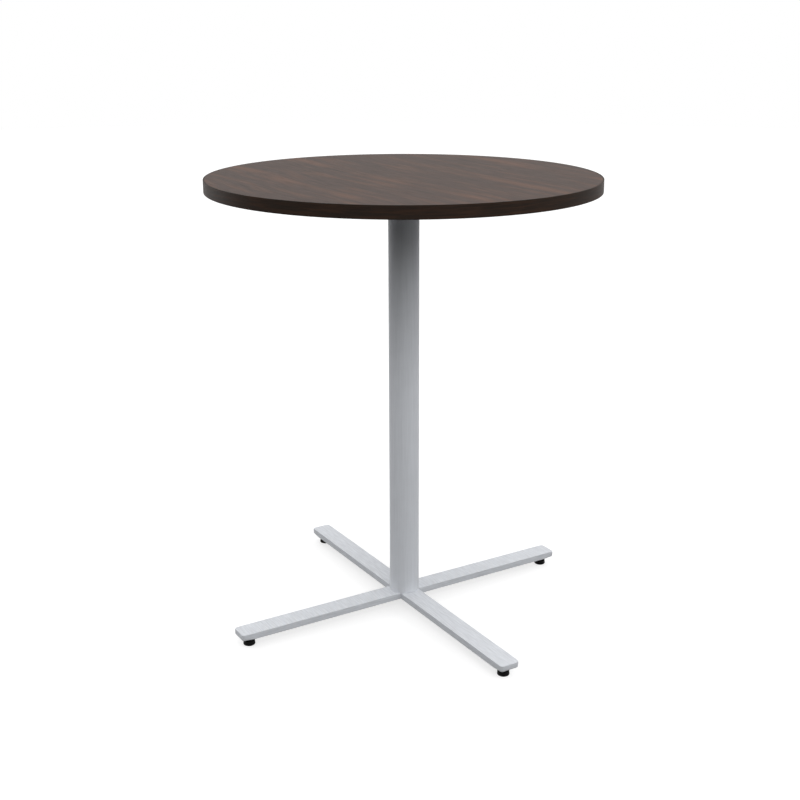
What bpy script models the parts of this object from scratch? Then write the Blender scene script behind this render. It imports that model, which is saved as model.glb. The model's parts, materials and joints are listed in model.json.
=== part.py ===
"""High table: a round laminated top on a round steel column with a cross base of flat bar.

The top is a particleboard disc between two sheets, wrapped in a plastic edge band. It is screwed to a
square steel plate that is welded to the column. Two bolts hold the column to one long bar that runs
right through the base, and two shorter bars are welded to the sides of that bar. Each of the four arm
ends carries a levelling glide: a stud that screws into the arm and turns in a round pad.

The origin is on the floor under the middle of the column, with +Z up. The long bar lies along Y.
"""
import math

import bmesh
import bpy

# Fits between pieces
TOUCH_GAP = 0.0003
RUNNING_CLEARANCE = 0.0003

# Tabletop
TABLE_HEIGHT = 1.0763
TOP_DIAMETER = 0.9144
TOP_THICKNESS = 0.0286
LAMINATE_THICKNESS = 0.0008
BACKER_THICKNESS = 0.0006
BAND_THICKNESS = 0.0030
BAND_EDGE_RADIUS = 0.0015

# Mounting plate, welded to the column
PLATE_SIDE = 0.254
PLATE_THICKNESS = 0.0048
PLATE_CORNER_RADIUS = 0.0127
PLATE_EDGE_RADIUS = 0.0006
PLATE_HOLE_INSET = 0.019
PLATE_WELD_LEG = 0.0045

# Pan-head screws that hold the top to the plate
SCREW_DIAMETER = 0.0048
SCREW_LENGTH = 0.0190
SCREW_POINT_LENGTH = 0.0045
SCREW_HEAD_DIAMETER = 0.0096
SCREW_HEAD_HEIGHT = 0.0029
SCREW_HOLE_CLEARANCE = 0.0004

# Column
COLUMN_DIAMETER = 0.0730
COLUMN_WALL = 0.0021
COLUMN_FOOT_THICKNESS = 0.0127

# Cross base of flat bar
BASE_SPAN = 0.9144
BAR_WIDTH = 0.0508
BAR_THICKNESS = 0.0159
BAR_CORNER_RADIUS = 0.0080
BAR_EDGE_RADIUS = 0.0010
WELD_BEAD_WIDTH = 0.0080
WELD_BEAD_HEIGHT = 0.0018
WELD_BEAD_END_MARGIN = 0.0025
WELD_RIPPLE_PITCH = 0.0045
WELD_RIPPLE_DEPTH = 0.07

# Hex bolts and washers that hold the column to the long bar
BOLT_DIAMETER = 0.0079
BOLT_SPACING = 0.034
BOLT_HEAD_ACROSS_FLATS = 0.0127
BOLT_HEAD_HEIGHT = 0.0053
BOLT_END_PROJECTION = 0.0015
BOLT_CHAMFER = 0.0008
BOLT_HOLE_CLEARANCE = 0.0006
WASHER_DIAMETER = 0.0160
WASHER_THICKNESS = 0.0016
WASHER_CHAMFER = 0.0003

# Levelling glides: the stud's thread has 18 turns to the inch
GLIDE_INSET = 0.027
GLIDE_TURNS_TO_SEATED = 3.0
STUD_PITCH = 0.0254 / 18
STUD_DIAMETER = 0.0079
STUD_CHAMFER = 0.0008
STUD_HOLE_SKIN = 0.0028
STUD_HEX_ACROSS_FLATS = 0.0127
STUD_HEX_HEIGHT = 0.0047
STUD_HEX_CHAMFER = 0.0007
STUD_NECK_DIAMETER = 0.0080
STUD_FLANGE_DIAMETER = 0.0136
STUD_FLANGE_THICKNESS = 0.0026
PAD_DIAMETER = 0.0286
PAD_HEIGHT = 0.0127
PAD_TAPER = 0.0010
PAD_FOOT_RADIUS = 0.0030
PAD_SHOULDER_RADIUS = 0.0018
PAD_LIP_THICKNESS = 0.0022

# How finely the round pieces are divided
TOP_SIDES = 120
COLUMN_SIDES = 60
PAD_SIDES = 32
STUD_SIDES = 20
SCREW_SIDES = 16
ARC_STEPS = 3
CORNER_STEPS = 6
BEAD_STEPS_PER_RIPPLE = 4
SMOOTH_ANGLE = math.radians(32)

# Heights that follow from the sizes above, with each glide screwed out by three turns
GLIDE_TRAVEL = GLIDE_TURNS_TO_SEATED * STUD_PITCH
HEX_BOTTOM = PAD_HEIGHT + TOUCH_GAP
HEX_TOP = HEX_BOTTOM + STUD_HEX_HEIGHT
BAR_BOTTOM = HEX_TOP + TOUCH_GAP + GLIDE_TRAVEL
BAR_TOP = BAR_BOTTOM + BAR_THICKNESS
STUD_HOLE_TOP = BAR_TOP - STUD_HOLE_SKIN
STUD_TIP = STUD_HOLE_TOP - GLIDE_TRAVEL - TOUCH_GAP
COLUMN_BOTTOM = BAR_TOP + TOUCH_GAP
TOP_BOTTOM = TABLE_HEIGHT - TOP_THICKNESS
PLATE_TOP = TOP_BOTTOM - TOUCH_GAP
PLATE_BOTTOM = PLATE_TOP - PLATE_THICKNESS
COLUMN_TOP = PLATE_BOTTOM - TOUCH_GAP
SCREW_SEAT = PLATE_BOTTOM - TOUCH_GAP

# Places in plan that follow from the sizes above
SHEET_RADIUS = TOP_DIAMETER / 2 - BAND_THICKNESS - TOUCH_GAP
ARM_ROOT = BAR_WIDTH / 2 + TOUCH_GAP
GLIDE_REACH = BASE_SPAN / 2 - GLIDE_INSET
GLIDE_SPOTS = {
    "front": (0.0, -GLIDE_REACH),
    "back": (0.0, GLIDE_REACH),
    "left": (-GLIDE_REACH, 0.0),
    "right": (GLIDE_REACH, 0.0),
}
BOLT_SPOTS = {
    "front": (0.0, -BOLT_SPACING / 2),
    "back": (0.0, BOLT_SPACING / 2),
}
SCREW_REACH = PLATE_SIDE / 2 - PLATE_HOLE_INSET
SCREW_SPOTS = [
    (x, y)
    for y in (-SCREW_REACH, 0.0, SCREW_REACH)
    for x in (-SCREW_REACH, 0.0, SCREW_REACH)
    if (x, y) != (0.0, 0.0)
]


def clear_scene():
    """Remove every object that the scene starts with."""
    for item in list(bpy.data.objects):
        bpy.data.objects.remove(item, do_unlink=True)


def make_material(name, colour, roughness, metallic=0.0):
    """Return a Principled material with a linear colour."""
    material = bpy.data.materials.new(name)
    material.use_nodes = True
    shader = material.node_tree.nodes["Principled BSDF"]
    shader.inputs["Base Color"].default_value = (*colour, 1.0)
    shader.inputs["Roughness"].default_value = roughness
    shader.inputs["Metallic"].default_value = metallic
    material.diffuse_color = (*colour, 1.0)
    return material


def add_piece(name, mesh, material, location=(0, 0, 0), turn=0.0, parent=None):
    """Add one named piece to the scene; pieces that repeat share a mesh."""
    mesh.materials.clear()
    mesh.materials.append(material)
    mesh.shade_smooth()
    mesh.set_sharp_from_angle(angle=SMOOTH_ANGLE)
    piece = bpy.data.objects.new(name, mesh)
    piece.location = location
    piece.rotation_euler.z = turn
    piece.parent = parent
    bpy.context.scene.collection.objects.link(piece)


def to_mesh(shape):
    """Turn a finished bmesh into a mesh whose faces point outwards."""
    bmesh.ops.recalc_face_normals(shape, faces=shape.faces[:])
    mesh = bpy.data.meshes.new("shape")
    shape.to_mesh(mesh)
    shape.free()
    return mesh


def arc(centre, radius, start, end, steps):
    """Points along an arc in a plane, from one angle in degrees to another."""
    points = []
    for step in range(steps + 1):
        angle = math.radians(start + (end - start) * step / steps)
        points.append((centre[0] + radius * math.cos(angle), centre[1] + radius * math.sin(angle)))
    return points


def disc_profile(radius, bottom, top):
    """Profile of a solid disc, from the axis out and back."""
    return [(0, bottom), (radius, bottom), (radius, top), (0, top)]


def turned(profile, sides, closed=False):
    """Spin a profile of (radius, height) points about the vertical axis."""
    shape = bmesh.new()
    corners = [shape.verts.new((radius, 0.0, height)) for radius, height in profile]
    edges = [shape.edges.new(pair) for pair in zip(corners, corners[1:])]
    if closed:
        edges.append(shape.edges.new((corners[-1], corners[0])))
    bmesh.ops.spin(
        shape,
        geom=corners + edges,
        cent=(0, 0, 0),
        axis=(0, 0, 1),
        angle=2 * math.pi,
        steps=sides,
        use_merge=True,
    )
    bmesh.ops.remove_doubles(shape, verts=shape.verts[:], dist=1e-6)
    return to_mesh(shape)


def combined(mesh, tool, operation):
    """Cut a mesh with a tool mesh, or join the two, and return the result."""
    body = bpy.data.objects.new("body", mesh)
    cutter = bpy.data.objects.new("cutter", tool)
    for item in (body, cutter):
        bpy.context.scene.collection.objects.link(item)
    modifier = body.modifiers.new("combine", "BOOLEAN")
    modifier.operation = operation
    modifier.object = cutter
    evaluated = body.evaluated_get(bpy.context.evaluated_depsgraph_get())
    result = bpy.data.meshes.new_from_object(evaluated)
    for item in (body, cutter):
        bpy.data.objects.remove(item, do_unlink=True)
    for used in (mesh, tool):
        bpy.data.meshes.remove(used)
    return result


def drilled(mesh, spots, radius, low, high, sides):
    """Drill a round hole in a mesh at each (x, y) spot, between two heights."""
    drill = turned(disc_profile(radius, low, high), sides)
    drills = bmesh.new()
    for x, y in spots:
        first = len(drills.verts)
        drills.from_mesh(drill)
        drills.verts.ensure_lookup_table()
        bmesh.ops.translate(drills, verts=drills.verts[first:], vec=(x, y, 0))
    bpy.data.meshes.remove(drill)
    return combined(mesh, to_mesh(drills), "DIFFERENCE")


def rounded_outline(low, high, radii):
    """Outline of a rectangle, with a radius for each corner from lower left, anticlockwise."""
    corners = [(low[0], low[1]), (high[0], low[1]), (high[0], high[1]), (low[0], high[1])]
    inward = [(1, 1), (-1, 1), (-1, -1), (1, -1)]
    points = []
    for index, (corner, way, radius) in enumerate(zip(corners, inward, radii)):
        if radius == 0:
            points.append(corner)
            continue
        centre = (corner[0] + way[0] * radius, corner[1] + way[1] * radius)
        start = 180 + 90 * index
        points += arc(centre, radius, start, start + 90, CORNER_STEPS)
    return points


def flat_plate(outline, bottom, thickness, edge_radius, square_end_x=None):
    """Extrude an outline upwards and round its rims, apart from those of a square end."""
    shape = bmesh.new()
    face = shape.faces.new([shape.verts.new((x, y, bottom)) for x, y in outline])
    extruded = bmesh.ops.extrude_face_region(shape, geom=[face])
    raised = [item for item in extruded["geom"] if isinstance(item, bmesh.types.BMVert)]
    bmesh.ops.translate(shape, verts=raised, vec=(0, 0, thickness))
    bmesh.ops.recalc_face_normals(shape, faces=shape.faces[:])
    rims = []
    for edge in shape.edges:
        first, second = (vert.co for vert in edge.verts)
        is_level = abs(first.z - second.z) < thickness / 2
        on_square_end = square_end_x is not None and max(first.x, second.x) < square_end_x + edge_radius
        if is_level and not on_square_end:
            rims.append(edge)
    bmesh.ops.bevel(shape, geom=rims, offset=edge_radius, segments=2, profile=0.5, affect="EDGES")
    return to_mesh(shape)


def hexagon(across_flats, base, top, chamfer):
    """A hexagonal head whose corners are taken off on the side away from its base."""
    corner = across_flats / math.sqrt(3)
    slope = math.copysign(chamfer / 2, top - base)
    profile = [(0, base), (corner, base), (corner, top - slope), (corner - chamfer, top), (0, top)]
    return turned(profile, 6)


def weld_bead(length, top):
    """A rippled weld bead along Y, flat on top and domed below, drawn in at both ends."""
    ripples = max(1, round(length / WELD_RIPPLE_PITCH))
    steps = BEAD_STEPS_PER_RIPPLE * ripples
    shape = bmesh.new()
    rings = []
    for step in range(1, steps):
        along = 2 * step / steps - 1
        ripple = 1 + WELD_RIPPLE_DEPTH * math.sin(math.pi * ripples * along)
        size = ripple * math.sqrt(1 - along ** 8)
        ring = []
        for x, z in arc((0, 0), size, 180, 360, 4):
            place = (x * WELD_BEAD_WIDTH / 2, along * length / 2, top + z * WELD_BEAD_HEIGHT)
            ring.append(shape.verts.new(place))
        rings.append(ring)
    for near, far in zip(rings, rings[1:]):
        for index in range(len(near)):
            other = (index + 1) % len(near)
            shape.faces.new((near[index], near[other], far[other], far[index]))
    shape.faces.new(rings[0])
    shape.faces.new(rings[-1])
    return to_mesh(shape)


def make_tabletop():
    """Particleboard disc, a sheet above and below it, and the band round its edge."""
    laminate_bottom = TABLE_HEIGHT - LAMINATE_THICKNESS
    backer_top = TOP_BOTTOM + BACKER_THICKNESS
    core_bottom = backer_top + TOUCH_GAP
    core_top = laminate_bottom - TOUCH_GAP
    hole_radius = SCREW_DIAMETER / 2 + SCREW_HOLE_CLEARANCE
    hole_top = SCREW_SEAT + SCREW_LENGTH + TOUCH_GAP

    laminate = turned(disc_profile(SHEET_RADIUS, laminate_bottom, TABLE_HEIGHT), TOP_SIDES)
    add_piece("top_laminate", laminate, make_material("walnut_laminate", (0.13, 0.10, 0.085), 0.42))

    core = turned(disc_profile(SHEET_RADIUS, core_bottom, core_top), TOP_SIDES)
    core = drilled(core, SCREW_SPOTS, hole_radius, backer_top, hole_top, SCREW_SIDES)
    add_piece("tabletop_core", core, make_material("particleboard", (0.42, 0.29, 0.17), 0.85))

    backer = turned(disc_profile(SHEET_RADIUS, TOP_BOTTOM, backer_top), TOP_SIDES)
    backer = drilled(backer, SCREW_SPOTS, hole_radius, PLATE_TOP, core_bottom, SCREW_SIDES)
    add_piece("bottom_backer_sheet", backer, make_material("brown_backer", (0.03, 0.02, 0.016), 0.6))

    outer = TOP_DIAMETER / 2
    inner = outer - BAND_THICKNESS
    lower_centre = (outer - BAND_EDGE_RADIUS, TOP_BOTTOM + BAND_EDGE_RADIUS)
    upper_centre = (outer - BAND_EDGE_RADIUS, TABLE_HEIGHT - BAND_EDGE_RADIUS)
    profile = [(inner, TABLE_HEIGHT), (inner, TOP_BOTTOM)]
    profile += arc(lower_centre, BAND_EDGE_RADIUS, -90, 0, ARC_STEPS)
    profile += arc(upper_centre, BAND_EDGE_RADIUS, 0, 90, ARC_STEPS)
    band = turned(profile, TOP_SIDES, closed=True)
    add_piece("edge_band", band, make_material("dark_brown_edging", (0.024, 0.014, 0.010), 0.45))


def make_mounting_plate():
    """Square steel plate with its eight screws, and the weld that joins it to the column."""
    paint = make_material("silver_plate_paint", (0.44, 0.45, 0.46), 0.45, 0.6)
    half = PLATE_SIDE / 2
    hole_radius = SCREW_DIAMETER / 2 + SCREW_HOLE_CLEARANCE
    outline = rounded_outline((-half, -half), (half, half), [PLATE_CORNER_RADIUS] * 4)
    plate = flat_plate(outline, PLATE_BOTTOM, PLATE_THICKNESS, PLATE_EDGE_RADIUS)
    plate = drilled(plate, SCREW_SPOTS, hole_radius, SCREW_SEAT, TOP_BOTTOM, SCREW_SIDES)
    add_piece("mounting_plate", plate, paint)

    inner = COLUMN_DIAMETER / 2 + TOUCH_GAP
    hollow_centre = (inner + PLATE_WELD_LEG, COLUMN_TOP - PLATE_WELD_LEG)
    profile = arc(hollow_centre, PLATE_WELD_LEG, 180, 90, ARC_STEPS) + [(inner, COLUMN_TOP)]
    add_piece("plate_weld", turned(profile, COLUMN_SIDES, closed=True), paint)

    shank = SCREW_DIAMETER / 2
    tip = SCREW_SEAT + SCREW_LENGTH
    profile = [(x * SCREW_HEAD_DIAMETER / 2, SCREW_SEAT + z * SCREW_HEAD_HEIGHT)
               for x, z in arc((0, 0), 1, -90, 0, ARC_STEPS)]
    profile += [(shank, SCREW_SEAT), (shank, tip - SCREW_POINT_LENGTH), (0, tip)]
    screw = turned(profile, SCREW_SIDES)
    zinc = make_material("zinc_screw", (0.55, 0.55, 0.53), 0.35, 1.0)
    for number, (x, y) in enumerate(SCREW_SPOTS, start=1):
        add_piece(f"mounting_screw_{number}", screw, zinc, location=(x, y, 0))


def make_column():
    """Round tube, and the thick disc in its lower end that the base bolts screw into."""
    outer = COLUMN_DIAMETER / 2
    inner = outer - COLUMN_WALL
    wall = [(inner, COLUMN_BOTTOM), (outer, COLUMN_BOTTOM), (outer, COLUMN_TOP), (inner, COLUMN_TOP)]
    paint = make_material("silver_column_paint", (0.40, 0.41, 0.42), 0.40, 0.6)
    add_piece("column_tube", turned(wall, COLUMN_SIDES, closed=True), paint)

    foot_top = COLUMN_BOTTOM + COLUMN_FOOT_THICKNESS
    tapped_radius = BOLT_DIAMETER / 2 + TOUCH_GAP
    foot = turned(disc_profile(inner - TOUCH_GAP, COLUMN_BOTTOM, foot_top), COLUMN_SIDES)
    foot = drilled(foot, BOLT_SPOTS.values(), tapped_radius, BAR_TOP, foot_top + TOUCH_GAP, STUD_SIDES)
    add_piece("column_foot_disc", foot, make_material("bare_steel", (0.30, 0.30, 0.31), 0.5, 0.9))


def make_base_bolts():
    """Two hex bolts, each with its washer, put in from under the long bar."""
    washer_top = BAR_BOTTOM - TOUCH_GAP
    washer_bottom = washer_top - WASHER_THICKNESS
    head_top = washer_bottom - TOUCH_GAP
    head_bottom = head_top - BOLT_HEAD_HEIGHT
    shank = BOLT_DIAMETER / 2
    shank_bottom = (head_top + head_bottom) / 2
    shank_top = COLUMN_BOTTOM + COLUMN_FOOT_THICKNESS + BOLT_END_PROJECTION
    profile = [(0, shank_bottom), (shank, shank_bottom), (shank, shank_top - BOLT_CHAMFER)]
    profile += [(shank - BOLT_CHAMFER, shank_top), (0, shank_top)]
    head = hexagon(BOLT_HEAD_ACROSS_FLATS, head_top, head_bottom, BOLT_CHAMFER)
    bolt = combined(turned(profile, STUD_SIDES), head, "UNION")

    hole = shank + TOUCH_GAP
    rim = WASHER_DIAMETER / 2
    profile = [(hole, washer_bottom), (rim - WASHER_CHAMFER, washer_bottom)]
    profile += [(rim, washer_bottom + WASHER_CHAMFER), (rim, washer_top), (hole, washer_top)]
    washer = turned(profile, STUD_SIDES, closed=True)

    zinc = make_material("zinc_bolt", (0.50, 0.50, 0.48), 0.35, 1.0)
    for place, (x, y) in BOLT_SPOTS.items():
        add_piece("base_bolt_" + place, bolt, zinc, location=(x, y, 0))
        add_piece("base_washer_" + place, washer, zinc, location=(x, y, 0))


def make_cross_base():
    """One long bar, two short bars butted against its sides, and the welds under the joints."""
    half_span = BASE_SPAN / 2
    half_width = BAR_WIDTH / 2
    stud_hole = STUD_DIAMETER / 2 + RUNNING_CLEARANCE
    bolt_hole = BOLT_DIAMETER / 2 + BOLT_HOLE_CLEARANCE
    below = BAR_BOTTOM - TOUCH_GAP
    paint = make_material("silver_base_paint", (0.60, 0.62, 0.64), 0.40, 0.6)

    outline = rounded_outline((-half_width, -half_span), (half_width, half_span), [BAR_CORNER_RADIUS] * 4)
    bar = flat_plate(outline, BAR_BOTTOM, BAR_THICKNESS, BAR_EDGE_RADIUS)
    ends = (GLIDE_SPOTS["front"], GLIDE_SPOTS["back"])
    bar = drilled(bar, ends, stud_hole, below, STUD_HOLE_TOP, STUD_SIDES)
    bar = drilled(bar, BOLT_SPOTS.values(), bolt_hole, below, COLUMN_BOTTOM, STUD_SIDES)
    add_piece("base_long_bar", bar, paint)

    radii = [0, BAR_CORNER_RADIUS, BAR_CORNER_RADIUS, 0]
    outline = rounded_outline((ARM_ROOT, -half_width), (half_span, half_width), radii)
    arm = flat_plate(outline, BAR_BOTTOM, BAR_THICKNESS, BAR_EDGE_RADIUS, square_end_x=ARM_ROOT)
    arm = drilled(arm, (GLIDE_SPOTS["right"],), stud_hole, below, STUD_HOLE_TOP, STUD_SIDES)
    joint = (half_width + ARM_ROOT) / 2
    bead = weld_bead(BAR_WIDTH - 2 * WELD_BEAD_END_MARGIN, below)
    for side, turn, way in (("right", 0.0, 1), ("left", math.pi, -1)):
        add_piece("base_arm_" + side, arm, paint, turn=turn)
        add_piece("arm_weld_" + side, bead, paint, location=(way * joint, 0, 0))


def pad_profile():
    """Profile of a glide's pad: rounded foot, drawn-in shoulder and the pocket for the stud's flange."""
    outer = PAD_DIAMETER / 2
    shoulder = outer - PAD_TAPER
    mouth = STUD_NECK_DIAMETER / 2 + RUNNING_CLEARANCE
    pocket = STUD_FLANGE_DIAMETER / 2 + RUNNING_CLEARANCE
    lip_bottom = PAD_HEIGHT - PAD_LIP_THICKNESS
    pocket_floor = lip_bottom - STUD_FLANGE_THICKNESS - 2 * TOUCH_GAP
    foot_centre = (outer - PAD_FOOT_RADIUS, PAD_FOOT_RADIUS)
    shoulder_centre = (shoulder - PAD_SHOULDER_RADIUS, PAD_HEIGHT - PAD_SHOULDER_RADIUS)
    profile = [(0, 0)]
    profile += arc(foot_centre, PAD_FOOT_RADIUS, -90, 0, ARC_STEPS)
    profile += arc(shoulder_centre, PAD_SHOULDER_RADIUS, 0, 90, ARC_STEPS)
    profile += [(mouth, PAD_HEIGHT), (mouth, lip_bottom), (pocket, lip_bottom)]
    profile += [(pocket, pocket_floor), (0, pocket_floor)]
    return profile


def glide_stud():
    """Stud: the flange that turns in the pad, a neck, a hexagon for the spanner and the threaded stem."""
    neck = STUD_NECK_DIAMETER / 2
    stem = STUD_DIAMETER / 2
    flange = STUD_FLANGE_DIAMETER / 2
    flange_top = PAD_HEIGHT - PAD_LIP_THICKNESS - TOUCH_GAP
    flange_bottom = flange_top - STUD_FLANGE_THICKNESS
    hex_middle = (HEX_BOTTOM + HEX_TOP) / 2
    profile = [(0, flange_bottom), (flange, flange_bottom), (flange, flange_top), (neck, flange_top)]
    profile += [(neck, hex_middle), (stem, hex_middle), (stem, STUD_TIP - STUD_CHAMFER)]
    profile += [(stem - STUD_CHAMFER, STUD_TIP), (0, STUD_TIP)]
    collar = hexagon(STUD_HEX_ACROSS_FLATS, HEX_BOTTOM, HEX_TOP, STUD_HEX_CHAMFER)
    return combined(turned(profile, STUD_SIDES), collar, "UNION")


def make_glides():
    """Four levelling glides, each standing on the vertical axis that its stud turns about."""
    pad = turned(pad_profile(), PAD_SIDES)
    stud = glide_stud()
    nylon = make_material("black_nylon", (0.012, 0.012, 0.013), 0.45)
    zinc = make_material("zinc_stud", (0.50, 0.50, 0.48), 0.35, 1.0)
    for place, (x, y) in GLIDE_SPOTS.items():
        axis = bpy.data.objects.new("glide_axis_" + place, None)
        axis.location = (x, y, 0)
        bpy.context.scene.collection.objects.link(axis)
        add_piece("glide_pad_" + place, pad, nylon, parent=axis)
        add_piece("glide_stud_" + place, stud, zinc, parent=axis)


def build():
    """Make every piece of the table."""
    clear_scene()
    make_tabletop()
    make_mounting_plate()
    make_column()
    make_base_bolts()
    make_cross_base()
    make_glides()


build()
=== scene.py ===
"""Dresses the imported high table: finer pieces, real finishes, a pale studio and the camera.

The table stands on the floor with its column's axis on the origin and +Z up. The long bar of the base lies
along Y, and the two short arms lie along X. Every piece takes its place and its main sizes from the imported
node that it stands for, and all sizes are in metres.
"""
import json
import math

import bmesh
import bpy
from bpy.props import FloatProperty, FloatVectorProperty, PointerProperty
from bpy.types import Operator, Panel, PropertyGroup
from mathutils import Matrix, Vector

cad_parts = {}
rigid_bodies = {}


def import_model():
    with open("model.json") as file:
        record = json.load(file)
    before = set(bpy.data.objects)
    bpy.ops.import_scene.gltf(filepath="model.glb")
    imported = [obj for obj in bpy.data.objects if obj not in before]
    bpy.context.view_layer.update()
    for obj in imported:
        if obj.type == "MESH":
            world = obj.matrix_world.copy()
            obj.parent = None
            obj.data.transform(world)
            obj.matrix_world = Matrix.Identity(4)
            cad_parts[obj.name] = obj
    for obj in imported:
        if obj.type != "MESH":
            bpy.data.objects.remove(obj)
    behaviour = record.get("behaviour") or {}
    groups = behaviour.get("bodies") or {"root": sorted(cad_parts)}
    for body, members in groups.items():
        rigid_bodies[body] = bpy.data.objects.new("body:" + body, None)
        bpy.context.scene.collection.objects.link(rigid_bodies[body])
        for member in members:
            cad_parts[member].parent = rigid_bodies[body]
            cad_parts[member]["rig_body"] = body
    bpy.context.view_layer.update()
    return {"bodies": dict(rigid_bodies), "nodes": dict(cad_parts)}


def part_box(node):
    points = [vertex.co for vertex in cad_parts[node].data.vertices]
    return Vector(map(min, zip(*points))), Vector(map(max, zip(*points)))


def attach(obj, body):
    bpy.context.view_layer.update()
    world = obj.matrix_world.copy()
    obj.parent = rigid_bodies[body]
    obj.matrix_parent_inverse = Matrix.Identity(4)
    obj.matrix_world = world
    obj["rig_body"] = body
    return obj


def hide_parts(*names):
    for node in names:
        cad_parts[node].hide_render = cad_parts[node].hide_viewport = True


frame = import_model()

bl_info = {
    "name": "High table",
    "version": (1, 0, 0),
    "blender": (4, 5, 0),
    "location": "3D View > Sidebar > High table",
    "description": "Round walnut-top high table on a silver column and cross base",
    "category": "Add Mesh",
}

MM = 0.001

# How finely round shapes are divided, and how close two points are that count as one
TOP_SIDES = 360
COLUMN_SIDES = 144
SMALL_SIDES = 64
EDGE_STEPS = 5
CORNER_STEPS = 14
SMOOTH_ANGLE = math.radians(32)
SAME_POINT = 0.001 * MM

# How far a drill or a cutter reaches past the surface that it cuts
CUT_MARGIN = 1.0 * MM

# The gap between pieces that touch on the real table
TOUCH_GAP = 0.3 * MM

# Top, column and mounting plate: here and below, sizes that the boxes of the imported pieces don't give
BAND_THICKNESS = 3.0 * MM
SHEET_EDGE_RADIUS = 0.25 * MM
BACKER_EDGE_RADIUS = 0.15 * MM
COLUMN_WALL = 2.1 * MM
COLUMN_END_RADIUS = 0.5 * MM
PLATE_CORNER_RADIUS = 12.7 * MM
PLATE_EDGE_RADIUS = 0.6 * MM

# Pan-head screws, with a short plain neck between the head and the thread
SCREW_COUNT = 8
SCREW_DIAMETER = 4.8 * MM
SCREW_CORE_DIAMETER = 3.4 * MM
SCREW_HEAD_HEIGHT = 2.9 * MM
SCREW_NECK_LENGTH = 1.0 * MM
SCREW_POINT_LENGTH = 4.5 * MM
SCREW_PITCH = 2.1 * MM
SCREW_HOLE_RADIUS = SCREW_DIAMETER / 2 + 0.4 * MM
RECESS_SPAN = 4.6 * MM
RECESS_FLOOR_SPAN = RECESS_SPAN / 3
RECESS_DEPTH = 1.9 * MM
RECESS_WING = 1.1 * MM

# Free ends of the bars: radius of a rim at the tip, where it begins to fade, and over what length it does
TIP_LOWER_RADIUS = 5.0 * MM
TIP_LOWER_REACH = 34.0 * MM
TIP_LOWER_BLEND = 26.0 * MM
TIP_UPPER_RADIUS = 2.0 * MM
TIP_UPPER_REACH = 18.0 * MM
TIP_UPPER_BLEND = 14.0 * MM
BAR_STEP = 4.0 * MM

# Bolts, washers and hexagons
BOLT_DIAMETER = 7.9 * MM
BOLT_HEAD_HEIGHT = 5.3 * MM
BOLT_CHAMFER = 0.8 * MM
BOLT_HOLE_RADIUS = BOLT_DIAMETER / 2 + 0.6 * MM
WASHER_HOLE_RADIUS = BOLT_DIAMETER / 2 + 0.3 * MM
WASHER_EDGE_RADIUS = 0.35 * MM
HEX_CHAMFER = 0.7 * MM
HEX_CONE_MARGIN = 0.3 * MM

# Levelling glides
PLACES = ("front", "back", "left", "right")
STUD_DIAMETER = 7.9 * MM
STUD_CLEARANCE = 0.3 * MM
STUD_HOLE_RADIUS = STUD_DIAMETER / 2 + STUD_CLEARANCE
STUD_HOLE_SKIN = 2.8 * MM
STUD_HEX_ACROSS_FLATS = 12.7 * MM
STUD_HEX_HEIGHT = 4.7 * MM
STUD_NECK_DIAMETER = 8.0 * MM
STUD_FLANGE_DIAMETER = 13.6 * MM
STUD_FLANGE_THICKNESS = 2.6 * MM
PAD_TAPER = 1.0 * MM
PAD_FOOT_RADIUS = 3.0 * MM
PAD_SHOULDER_RADIUS = 1.8 * MM
PAD_LIP_THICKNESS = 2.2 * MM

# Threads: rows and sides to a turn, depth, and the height of a sharp crest, which is cut flat at 1
THREAD_ROWS = 8
THREAD_SIDES = 40
THREAD_DEPTH_PER_PITCH = 0.54
THREAD_SHARP_CREST = 1.15

# Welds: steps to a ripple and across the bead, how far a ripple sweeps back, its depth and the bead's ends
RIPPLE_STEPS = 8
BEAD_STEPS_ACROSS = 14
BEAD_SWEEP = 0.55
BEAD_RIPPLE_DEPTH = 0.14
BEAD_END_SQUARENESS = 8
FILLET_RIPPLE_DEPTH = 0.16

# The camera, from the perspective of the photograph
PICTURE_SIDE = 800
SENSOR_WIDTH = 36.0
FOCAL_PIXELS = 1244.3
OPTICAL_CENTRE = (410.6, 376.1)
CAMERA_DISTANCE = 2.8790
CAMERA_HEIGHT = 1.4393
CAMERA_TURN = math.radians(31.283)
CAMERA_YAW = math.radians(0.3157)
CAMERA_PITCH = math.radians(16.340)

# The lamps, each so many degrees to the right of the camera and above the column's middle
LAMP_SIZE = 2.2
LAMP_DISTANCE = 4.5
COLUMN_MIDDLE = 0.5
LAMPS = {"key": (20, 36), "side": (80, 18), "left": (-118, 8)}

# Share of the dome's full brightness at each rise, the sine of the angle above the floor
DOME_LEVELS = ((0.10, 0.0), (0.30, 0.33), (0.52, 0.40), (0.74, 0.70), (0.84, 0.0), (0.92, 0.0), (1.0, 1.0))

# The floor: a lit grey, a glow that brings it up to white for the eye, and how far it lies under the feet
FLOOR_GREY = 0.5
FLOOR_GLOW = 0.65
FLOOR_DROP = 0.2 * MM

# Brushing marks on the steel: their width, and for the base (Y) and the column (Z) their length and shades
BRUSH_WIDTH = 3.2 * MM
BRUSH_LENGTH = {"Y": 40 * MM, "Z": 110 * MM}
BRUSH_SHADES = {"Y": (0.86, 1.12), "Z": (0.95, 1.04)}

# Where one main streak of the walnut print lies across the grain, and the size of the core's chips
FIGURE_START = -65.0 * MM
CHIP_SIZE = 4.0 * MM

# What the wave texture multiplies a place by, before its own scale
WAVE_FACTOR = 20

# The values between which nearly all of a random pattern lies, and the narrower ones for most of it
WHOLE_SPAN = (0.25, 0.75)
MAIN_SPAN = (0.3, 0.7)


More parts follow.
